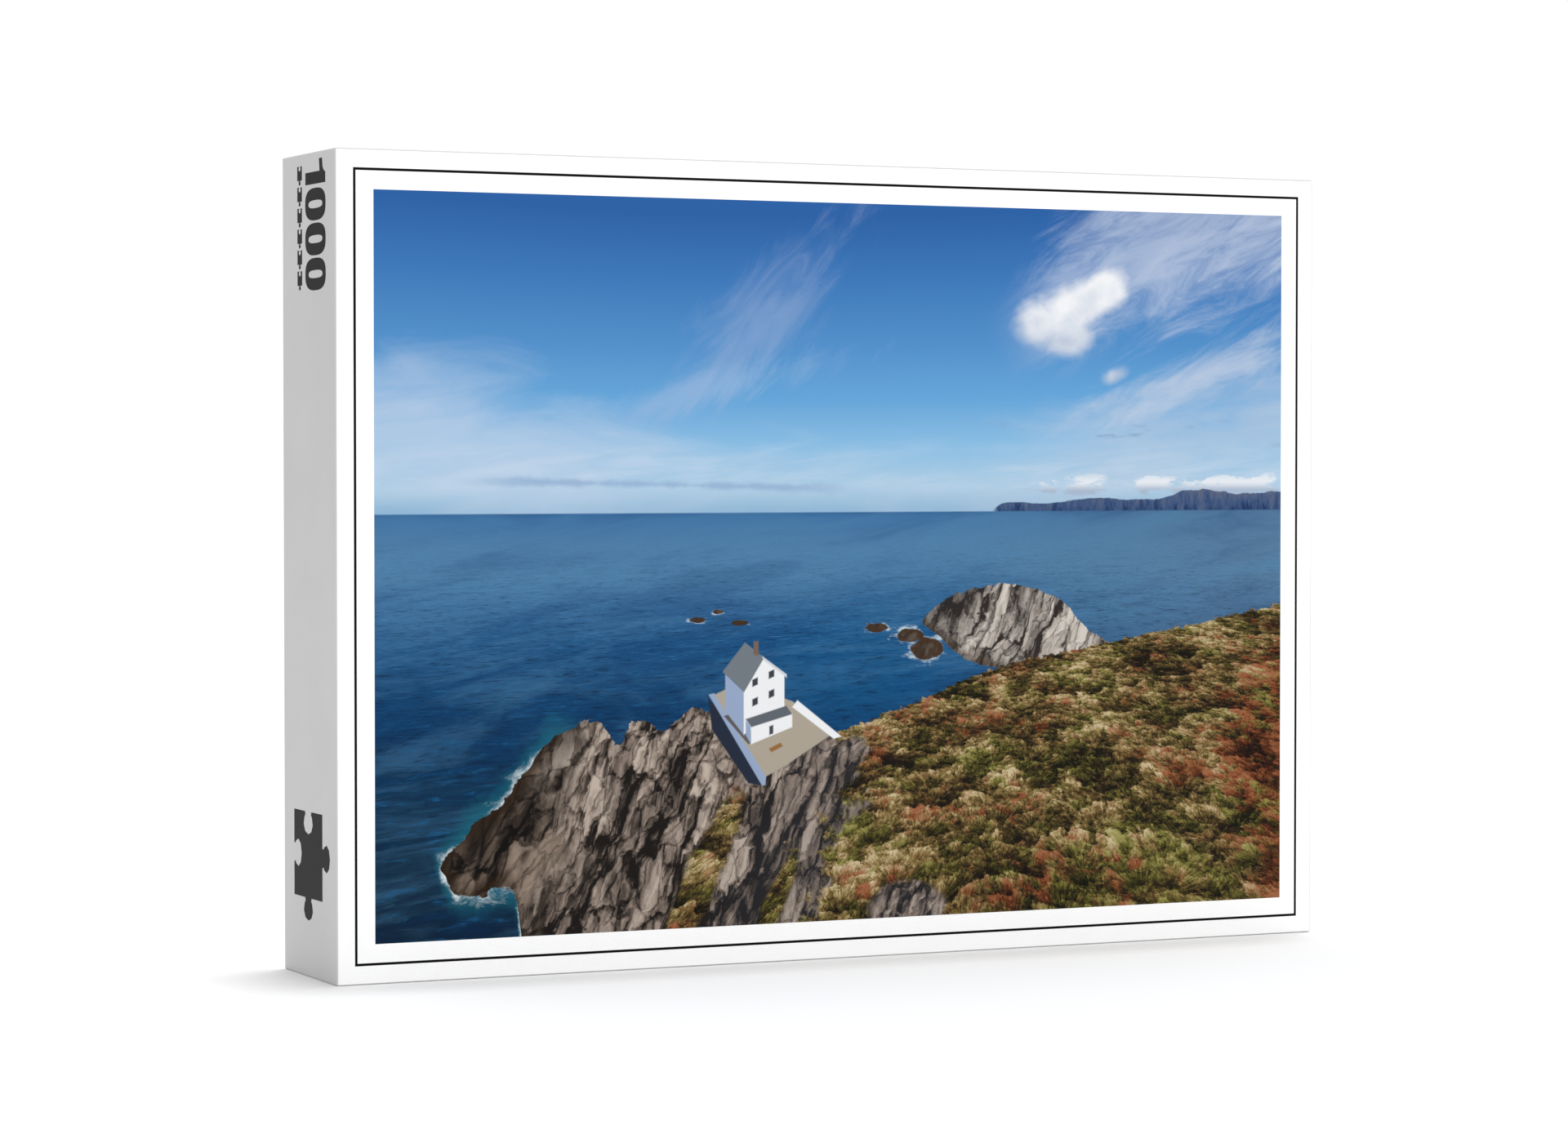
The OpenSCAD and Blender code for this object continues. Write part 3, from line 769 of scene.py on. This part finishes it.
def box_shape(low, high):
    """A plain box between two corners."""
    bm = bmesh.new()
    bmesh.ops.create_cube(bm, size=1)
    bmesh.ops.scale(bm, vec=high - low, verts=bm.verts)
    bmesh.ops.translate(bm, vec=(low + high) / 2, verts=bm.verts)
    return bm


FOLD_ROUND = 0.7 * MM    # how round the paper is over the box's corners
RIM_ROUND = 0.35 * MM    # and over its rims
NEAR = 0.01 * MM         # places closer than this are one place


def wrap_box(low, high, opens):
    """One sheet of paper folded round an open box whose mouth faces along Y towards opens: over the closed face
    and the four walls, round the rims and in behind them."""
    bm = box_shape(low, high)
    mouth = max(bm.faces, key=lambda face: face.calc_center_median().y * opens)
    bmesh.ops.delete(bm, geom=[mouth], context="FACES_ONLY")
    folds = [edge for edge in bm.edges if not edge.is_boundary]
    bmesh.ops.bevel(bm, geom=folds, offset=FOLD_ROUND, offset_type="OFFSET", segments=4, profile=0.5,
                    affect="EDGES", material=-1)

    rim_y = high.y if opens > 0 else low.y
    middle = (low + high) / 2
    reach = (high - low) / 2 - Vector((WALL, 0, WALL))

    def fold_on(edges, move):
        made = bmesh.ops.extrude_edge_only(bm, edges=edges)["geom"]
        for vert in (v for v in made if isinstance(v, bmesh.types.BMVert)):
            vert.co = move(vert.co)
        return [edge for edge in made if isinstance(edge, bmesh.types.BMEdge)]

    def over_the_board(place):
        inner = place - middle
        inner.x = max(-reach.x, min(reach.x, inner.x))
        inner.z = max(-reach.z, min(reach.z, inner.z))
        return middle + inner

    rim = [edge for edge in bm.edges if edge.is_boundary]
    inner_rim = fold_on(rim, over_the_board)
    fold_on([e for e in inner_rim if e.is_boundary], lambda place: place - Vector((0, opens * TURN_IN, 0)))
    bmesh.ops.remove_doubles(bm, verts=bm.verts, dist=0.02 * MM)
    bmesh.ops.recalc_face_normals(bm, faces=bm.faces)
    closed_face = min(bm.faces, key=lambda face: face.calc_center_median().y * opens)
    if closed_face.normal.y * opens > 0:
        bmesh.ops.reverse_faces(bm, faces=bm.faces)

    def is_side_rim(edge):
        a, b = (vert.co for vert in edge.verts)
        at_mouth = abs(a.y - rim_y) < NEAR and abs(b.y - rim_y) < NEAR
        return at_mouth and not edge.is_boundary and abs(a.x - b.x) < NEAR

    bmesh.ops.bevel(bm, geom=[edge for edge in bm.edges if is_side_rim(edge)], offset=RIM_ROUND,
                    offset_type="OFFSET", segments=3, profile=0.5, affect="EDGES", material=-1)
    return bm


def thicken(piece, thickness):
    """Gives a sheet its thickness, on the side away from its face."""
    layer = piece.modifiers.new("thickness", "SOLIDIFY")
    layer.thickness = thickness
    layer.offset = -1
    layer.use_even_offset = True


def make_lid_wrap():
    """The lid's printed paper: the picture on its front, and on its sides a grey that is partly the paper's own
    and partly painted shade.
    """
    bm = wrap_box(LID_LO, LID_HI, 1)
    for face in bm.faces:
        faces_front = face.normal.y < -0.9 and face.calc_center_median().y < LID_LO.y + 0.5 * MM
        face.material_index = 0 if faces_front else 1
    wrap = finish_piece(
        "lid_wrap_print", bm, [FRONT_PRINT, SIDE_GREY_AND_SHADE], "lid", ["lid_wrap"], 40)
    thicken(wrap, PAPER)


def make_tray_wrap():
    """The tray's plain white paper."""
    bm = wrap_box(TRAY_LO, TRAY_HI, -1)
    wrap = finish_piece("tray_wrap_paper", bm, [TRAY_PAPER], "tray", ["tray_wrap"], 40)
    thicken(wrap, PAPER)


def dress_cad_nodes():
    """Gives the panels, walls and stays that show as they are their own materials."""
    for name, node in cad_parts.items():
        finish = None
        if name.endswith(("_panel", "_wall")):
            finish = GREYBOARD
        elif name.endswith("_stays"):
            finish = KRAFT
        if finish:
            node.data.materials.clear()
            node.data.materials.append(finish)


make_lid_wrap()
make_tray_wrap()
dress_cad_nodes()


# ------------------------------------------------------------------ the puzzle's cut

def knob(start, end, bulge, wander, size):
    """Points from start up to end along one cut, with a rounded knob to the left for a bulge of 1 and to the
    right for -1."""
    run = end - start
    out = Vector((-run.y, run.x)).normalized() * bulge
    run_dir = run.normalized()
    middle = start + run * (0.5 + wander)
    neck, head, length = 1.45 * MM * size, 2.35 * MM * size, 2.0 * MM * size
    points = [start, middle - run_dir * neck * 1.15, middle - run_dir * neck + out * 0.6 * MM]
    for step in range(7):
        turn = math.radians(215 - step * 250 / 6)
        reach = length + head * math.sin(turn) * 0.78
        points.append(middle + run_dir * head * math.cos(turn) + out * reach)
    return points + [middle + run_dir * neck + out * 0.6 * MM, middle + run_dir * neck * 1.15]


def cut_puzzle():
    """The outline of every piece in the finished puzzle, by column and row. Neighbours share their cuts."""
    dice = random.Random(11)

    def crossing(column, row):
        """Where four pieces meet, a little off the even grid."""
        slack_x = 0 if column in (0, COLUMNS) else dice.uniform(-0.7, 0.7) * MM
        slack_y = 0 if row in (0, ROWS) else dice.uniform(-0.7, 0.7) * MM
        return Vector((column * PIECE_W + slack_x, row * PIECE_H + slack_y))

    crossings = {(c, r): crossing(c, r) for c in range(COLUMNS + 1) for r in range(ROWS + 1)}

    def cut(start, end, straight):
        """Points from start up to end: straight along the puzzle's edge, and with a random knob elsewhere."""
        if straight:
            return [start]
        return knob(start, end, dice.choice((-1, 1)), dice.uniform(-0.06, 0.06), dice.uniform(0.88, 1.08))

    level = {(c, r): cut(crossings[c, r], crossings[c + 1, r], r in (0, ROWS))
             for c in range(COLUMNS) for r in range(ROWS + 1)}
    upright = {(c, r): cut(crossings[c, r], crossings[c, r + 1], c in (0, COLUMNS))
               for c in range(COLUMNS + 1) for r in range(ROWS)}
    outlines = {}
    for c in range(COLUMNS):
        for r in range(ROWS):
            over = [crossings[c + 1, r + 1]] + level[c, r + 1][:0:-1]
            down = [crossings[c, r + 1]] + upright[c, r][:0:-1]
            outlines[c, r] = level[c, r] + upright[c + 1, r] + over + down
    return outlines


# ------------------------------------------------------------------ the space inside the bag

SWAY = 7 * MM           # how far the bag's top seal leans out of line
FILM_ROOM = 1.7 * MM    # what a piece keeps clear of the film


def smooth(t):
    """An even rise from 0 to 1 as t goes from 0 to 1."""
    t = max(0.0, min(1.0, t))
    return t * t * (3 - 2 * t)


def bag_fullness(h):
    """How full the bag is at a height: 1 below, and 0 where the film is flat under its seal."""
    return 1 - smooth((h - 0.7) / 0.24)


def bag_width(h):
    """Half the bag's width at a height, from 0 at its foot to 1 at its top."""
    half = (BAG_HI.x - BAG_LO.x) / 2
    return half * (1 - 0.07 * smooth((h - 0.66) / 0.3)) * (0.985 + 0.015 * smooth(h / 0.06))


def bag_section(side, h):
    """How far the middle of the bag's depth has swayed, and half its depth, at a place across it and up it."""
    past = max(0.0, (abs(side) - 0.94) / 0.06)
    round_side = max(0.0, 1 - past ** 3) ** (1 / 3)
    round_foot = 0.9 + 0.1 * smooth(h / 0.05)
    half = (BAG_HI.y - BAG_LO.y) / 2
    depth = half * (0.02 + 0.98 * bag_fullness(h)) * (0.08 + 0.92 * round_side) * round_foot
    return smooth((h - 0.72) / 0.28) * SWAY * math.sin(side * 2.4 + 0.6), depth


def tuck_in(points):
    """The move that brings a piece wholly inside the film, found in a few rounds."""
    middle = (BAG_LO + BAG_HI) / 2
    move = Vector((0, 0, 0))
    for _ in range(6):
        past = [[0.0, 0.0] for _ in range(3)]   # how far the piece is past each low side and each high side
        for point in points:
            place = point + move - middle
            h = min(1.0, max(0.0, (place.z + middle.z - BAG_LO.z) / (BAG_HI.z - BAG_LO.z)))
            width = bag_width(h)
            sway, depth = bag_section(max(-1.0, min(1.0, place.x / width)), h)
            limits = ((place.x, width - 2 * FILM_ROOM), (place.y - sway, depth - FILM_ROOM),
                      (place.z, (BAG_HI.z - BAG_LO.z) / 2 - FILM_ROOM))
            for axis, (at, limit) in enumerate(limits):
                past[axis][0] = max(past[axis][0], -at - limit)
                past[axis][1] = max(past[axis][1], at - limit)
        step = Vector([low - high for low, high in past])
        if step.length < 0.01 * MM:
            break
        move += step
    return move


# ------------------------------------------------------------------ the heap of loose pieces

SIM = 50.0           # the drop is worked out at this many times the real size, where the solver is steady
SLOW_FALL = 0.4      # the share of gravity it falls with
LAST_FRAME = 70      # where the drop is stopped
BLOCK_GROWTH = 1.1   # a falling block beside the piece's own tile, as its knobs stand out


def drop_pieces(count):
    """Where each piece comes to rest when they are all poured into the bag's space: one matrix each."""
    dice = random.Random(4)
    space = HEAP_HI - HEAP_LO
    width, depth = space.x - 5 * MM, (BAG_HI.y - BAG_LO.y) - 1.6 * MM
    middle = Vector(((BAG_LO.x + BAG_HI.x) / 2, (BAG_LO.y + BAG_HI.y) / 2, BAG_LO.z + 0.8 * MM))
    across, deep = 11, 3
    starts = []
    for i in range(count):
        column, layer, level = i % across, i // across % deep, i // (across * deep)
        place = Vector(((column - (across - 1) / 2) * width / (across + 0.6),
                        (layer - 1) * depth / 3.4,
                        12 * MM + level * PIECE_H * 1.15 + dice.uniform(0, 4) * MM))
        spin = dice.uniform(-0.5, 0.5), dice.uniform(0, 2 * math.pi), dice.uniform(-0.35, 0.35)
        turn = Euler(spin)
        if dice.random() < 0.5:
            turn.rotate_axis("Z", math.pi)
        starts.append(Matrix.LocRotScale(place, turn, None))

    scene = bpy.context.scene
    gravity = scene.gravity.copy()
    scene.gravity = (0, 0, -9.81 * SIM * SLOW_FALL)
    bpy.ops.rigidbody.world_add()
    world = scene.rigidbody_world
    world.substeps_per_frame, world.solver_iterations = 8, 12
    world.collection = bpy.data.collections.new("drop")
    world.point_cache.frame_start, world.point_cache.frame_end = 1, LAST_FRAME

    def solid(name, size, place, kind):
        """A block in the drop, sharing its mesh with others of its size."""
        mesh = blocks.get(tuple(size))
        if mesh is None:
            bm = box_shape(-size / 2, size / 2)
            mesh = blocks[tuple(size)] = bpy.data.meshes.new(name)
            bm.to_mesh(mesh)
            bm.free()
        block = bpy.data.objects.new(name, mesh)
        scene.collection.objects.link(block)
        block.matrix_world = place
        with bpy.context.temp_override(object=block, active_object=block, selected_objects=[block]):
            bpy.ops.rigidbody.object_add(type=kind)
        block.rigid_body.collision_shape = "BOX"
        block.rigid_body.use_margin = True
        block.rigid_body.collision_margin = 0.01
        block.rigid_body.friction = 0.3
        block.rigid_body.restitution = 0
        return block

    blocks = {}
    thick, tall = 5.0, 80.0
    walls = []
    for size, place in (((2 * thick + 40, 2 * thick + 10, thick), (0, 0, -thick / 2)),
                        ((thick, 30, tall), (-(width * SIM + thick) / 2, 0, tall / 2)),
                        ((thick, 30, tall), ((width * SIM + thick) / 2, 0, tall / 2)),
                        ((60, thick, tall), (0, -(depth * SIM + thick) / 2, tall / 2)),
                        ((60, thick, tall), (0, (depth * SIM + thick) / 2, tall / 2))):
        walls.append(solid("wall", Vector(size), Matrix.Translation(place), "PASSIVE"))
    size = Vector((PIECE_W * BLOCK_GROWTH, PIECE_T, PIECE_H * BLOCK_GROWTH)) * SIM
    falling = []
    for start in starts:
        scaled = Matrix.Translation(start.translation * SIM) @ start.to_3x3().to_4x4()
        falling.append(solid("falling", size, scaled, "ACTIVE"))
    for frame_number in range(1, LAST_FRAME + 1):
        scene.frame_set(frame_number)
    graph = bpy.context.evaluated_depsgraph_get()
    rests = []
    for block in falling:
        at = block.evaluated_get(graph).matrix_world
        rests.append(Matrix.Translation(middle + at.translation / SIM) @ at.to_3x3().to_4x4())
    for block in walls + falling:
        bpy.data.objects.remove(block)
    for mesh in blocks.values():
        bpy.data.meshes.remove(mesh)
    bpy.ops.rigidbody.world_remove()
    scene.gravity = gravity
    scene.frame_set(1)
    return rests


def make_pieces():
    """A thousand pieces, each cut from its own place in the picture and lying where it fell."""
    outlines = cut_puzzle()
    rests = drop_pieces(len(outlines))
    random.Random(9).shuffle(rests)
    kinds = {name: bmesh.new() for name in ("corner", "edge", "middle")}
    maps = {name: bm.loops.layers.uv.new("picture") for name, bm in kinds.items()}
    high = ROWS * PIECE_H
    for ((c, r), outline), rest in zip(outlines.items(), rests):
        straight = (c in (0, COLUMNS - 1)) + (r in (0, ROWS - 1))
        name = ("middle", "edge", "corner")[straight]
        centre = Vector(((c + 0.5) * PIECE_W, (r + 0.5) * PIECE_H))
        front, back = [[rest @ Vector((p.x - centre.x, side * PIECE_T / 2, p.y - centre.y)) for p in outline]
                       for side in (-1, 1)]
        move = tuck_in(front + back)
        verts = [kinds[name].verts.new(place + move) for place in front]
        face = kinds[name].faces.new(verts)
        for loop, p in zip(face.loops, outline):
            loop[maps[name]].uv = (p.x / high, p.y / high)
    slots = [PIECE_FACE, PIECE_BACK, GREYBOARD]
    stands = {"corner": ["corner_pieces"], "edge": ["edge_pieces"], "middle": ["middle_pieces", "piece_heap"]}
    for name, bm in kinds.items():
        bm.normal_update()
        fronts = set(bm.faces)
        grown = bmesh.ops.extrude_face_region(bm, geom=bm.faces[:], use_keep_orig=True)["geom"]
        backs = {item for item in grown if isinstance(item, bmesh.types.BMFace)}
        for face in bm.faces:
            face.material_index = 0 if face in fronts else 1 if face in backs else 2
        for back in backs:
            depth = PIECE_T * back.normal
            for vert in back.verts:
                vert.co -= depth
        bmesh.ops.recalc_face_normals(bm, faces=bm.faces)
        finish_piece(f"{name}_puzzle_pieces", bm, slots, "bag", stands[name], 35)


make_pieces()


# ------------------------------------------------------------------ the bag

def make_bag():
    """A sealed film bag, full below and flat towards its crimped top seal, creased all over."""
    low, high = BAG_LO, BAG_HI
    middle = (low + high) / 2
    bm = box_shape(low, high)
    for axis, cuts in ((0, 96), (1, 10), (2, 56)):
        for i in range(1, cuts):
            at = Vector(low)
            at[axis] = low[axis] + (high[axis] - low[axis]) * i / cuts
            normal = Vector((0, 0, 0))
            normal[axis] = 1
            everything = bm.verts[:] + bm.edges[:] + bm.faces[:]
            bmesh.ops.bisect_plane(bm, geom=everything, plane_co=at, plane_no=normal)
    half = (high - low) / 2
    for vert in bm.verts:
        h = (vert.co.z - low.z) / (high.z - low.z)
        side = (vert.co.x - middle.x) / half.x
        front = (vert.co.y - middle.y) / half.y
        sway, depth = bag_section(side, h)
        vert.co.y = middle.y + sway + front * depth
        vert.co.x = middle.x + side * bag_width(h)
        crease = noise.noise(vert.co * 55) * 0.6 + noise.noise(vert.co * 140 + Vector((3, 0, 0))) * 0.4
        pleat = noise.noise(Vector((vert.co.x * 170, front, vert.co.z * 18)))
        swell = max(0.0, crease) * 1.1 + max(0.0, pleat) * 1.4 * (1 - bag_fullness(h))
        vert.co.y += math.copysign(1, front or 1) * swell * MM
    bmesh.ops.recalc_face_normals(bm, faces=bm.faces)
    film = finish_piece("bag_film", bm, [CLEAR_FILM], "bag", ["piece_bag"], 180)


make_bag()


# ------------------------------------------------------------------ ink on the left side

def make_side_print():
    """The piece count in plain numerals, a row of small piece marks and one large piece mark, printed to read
    level when the box stands on its short side."""
    film = 0.02 * MM
    outside = LID_LO.x - film
    depth, height = LID_HI.y - LID_LO.y, LID_HI.z - LID_LO.z

    def onto_side(bm, from_front, from_top):
        """Turns a flat shape, its reading direction along +X, down the left side with its middle at a place."""
        bmesh.ops.transform(bm, verts=bm.verts, matrix=Matrix((
            (0, 0, -1, outside), (0, -1, 0, LID_LO.y + from_front),
            (-1, 0, 0, LID_HI.z - from_top), (0, 0, 0, 1))))

    def centred(bm, width=None):
        """Moves a flat shape's middle to the origin and gives it a width."""
        low = Vector([min(v.co[i] for v in bm.verts) for i in range(3)])
        high = Vector([max(v.co[i] for v in bm.verts) for i in range(3)])
        bmesh.ops.translate(bm, vec=-(low + high) / 2, verts=bm.verts)
        if width:
            bmesh.ops.scale(bm, vec=Vector((1, 1, 1)) * width / (high.x - low.x), verts=bm.verts)

    def one():
        """A plain numeral with a short flag, in millimetres."""
        bm = bmesh.new()
        outline = [(4.1, 0), (8.1, 0), (8.1, 20), (4.7, 20), (4.1, 18.4), (2.9, 17.3), (0, 16.8), (0, 13.7),
                   (4.1, 14.3)]
        bm.faces.new([bm.verts.new((across * MM, up * MM, 0)) for across, up in outline])
        return bm

    def zero(start):
        """The quads round a heavy, squarish ring."""
        squareness, steps = 0.72, 48
        outer, inner = (5.3 * MM, 10.2 * MM), (1.3 * MM, 6.9 * MM)

        def oval(half, turn):
            c, s = math.cos(turn), math.sin(turn)
            return Vector((start + 5.3 * MM + math.copysign(abs(c) ** squareness, c) * half[0],
                           10 * MM + math.copysign(abs(s) ** squareness, s) * half[1], 0))
        turns = [2 * math.pi * i / steps for i in range(steps + 1)]
        return [(oval(outer, a), oval(outer, b), oval(inner, b), oval(inner, a))
                for a, b in zip(turns, turns[1:])]

    def mark(width, bulges, size):
        """A jigsaw piece. Its sides from the foot round have a socket for 1, a knob for -1 and nothing for 0."""
        bm = bmesh.new()
        corners = [Vector((0, 0)), Vector((PIECE_W, 0)), Vector((PIECE_W, PIECE_W)), Vector((0, PIECE_W))]
        outline = []
        for a, b, bulge in zip(corners, corners[1:] + corners[:1], bulges):
            outline += knob(a, b, bulge, 0, size) if bulge else [a]
        bm.faces.new([bm.verts.new((p.x, p.y, 0)) for p in outline])
        centred(bm, width)
        return bm

    def lay(name, bm, from_front, from_top):
        """Prints a flat shape on the side, its middle at a place."""
        bmesh.ops.solidify(bm, geom=bm.faces[:], thickness=film)
        onto_side(bm, from_front, from_top)
        bmesh.ops.recalc_face_normals(bm, faces=bm.faces)
        finish_piece(name, bm, [BLACK_INK], "lid", ())

    numerals = one()
    for i in range(3):
        for vert_loop in zero(9.4 * MM + i * 11.4 * MM):
            numerals.faces.new([numerals.verts.new(place) for place in vert_loop])
    bmesh.ops.remove_doubles(numerals, verts=numerals.verts, dist=0.01 * MM)
    centred(numerals)
    lay("count_print", numerals, 0.365 * depth, 0.088 * height)
    row = bmesh.new()
    for i in range(6):
        glyph = mark(6.3 * MM, (0, -1, 0, 1), 1.5)
        bmesh.ops.translate(glyph, vec=((i - 2.5) * 6.9 * MM, 0, 0), verts=glyph.verts)
        spare = bpy.data.meshes.new("glyph")
        glyph.to_mesh(spare)
        glyph.free()
        row.from_mesh(spare)
        bpy.data.meshes.remove(spare)
    lay("piece_row_print", row, 0.665 * depth, 0.09 * height)
    lay("piece_mark_print", mark(36 * MM, (1, -1, -1, 1), 1.15), 0.465 * depth, 0.865 * height)


make_side_print()


# ------------------------------------------------------------------ studio

ROOM_LIGHT = 0.72   # how bright the room is as a light
ROOM_SEEN = 1.02    # and as the camera sees it


def make_studio():
    """A plain pale floor in a white room, a broad soft light overhead and one from the front."""
    bm = bmesh.new()
    bmesh.ops.create_grid(bm, x_segments=2, y_segments=2, size=40)
    mesh = bpy.data.meshes.new("floor")
    bm.to_mesh(mesh)
    bm.free()
    mesh.materials.append(new_material("floor_white", 0.9, (0.95, 0.95, 0.95, 1))[0])
    floor = bpy.data.objects.new("floor", mesh)
    bpy.context.scene.collection.objects.link(floor)

    world = bpy.data.worlds.new("soft_white")
    world.use_nodes = True
    sky = world.node_tree.nodes["Background"]
    sky.inputs["Color"].default_value = (1, 1, 1, 1)
    k = Kit(world.node_tree)
    seen = Flow(k, k.node("ShaderNodeLightPath").outputs["Is Camera Ray"])
    k.plug(ROOM_LIGHT + seen * (ROOM_SEEN - ROOM_LIGHT), sky.inputs["Strength"])
    bpy.context.scene.world = world

    def lamp(name, kind, place, target, size, power):
        """A light aimed at a target; size is an angle for a sun and a length for a panel."""
        data = bpy.data.lights.new(name, kind)
        data.energy = power
        if kind == "SUN":
            data.angle = math.radians(size)
        else:
            data.size = size
        light = bpy.data.objects.new(name, data)
        light.location = place
        light.rotation_euler = (Vector(target) - Vector(place)).to_track_quat("-Z", "Y").to_euler()
        bpy.context.scene.collection.objects.link(light)

    lamp("overhead", "SUN", (0.16, 0.12, 2.2), (0, 0, 0), 9, 1.25)
    lamp("front", "AREA", (0.4, -3.0, 0.7), (0, 0, 0.1), 1.6, 22)
    view = bpy.context.scene.view_settings
    view.view_transform = "Standard"
    view.look = "None"


make_studio()
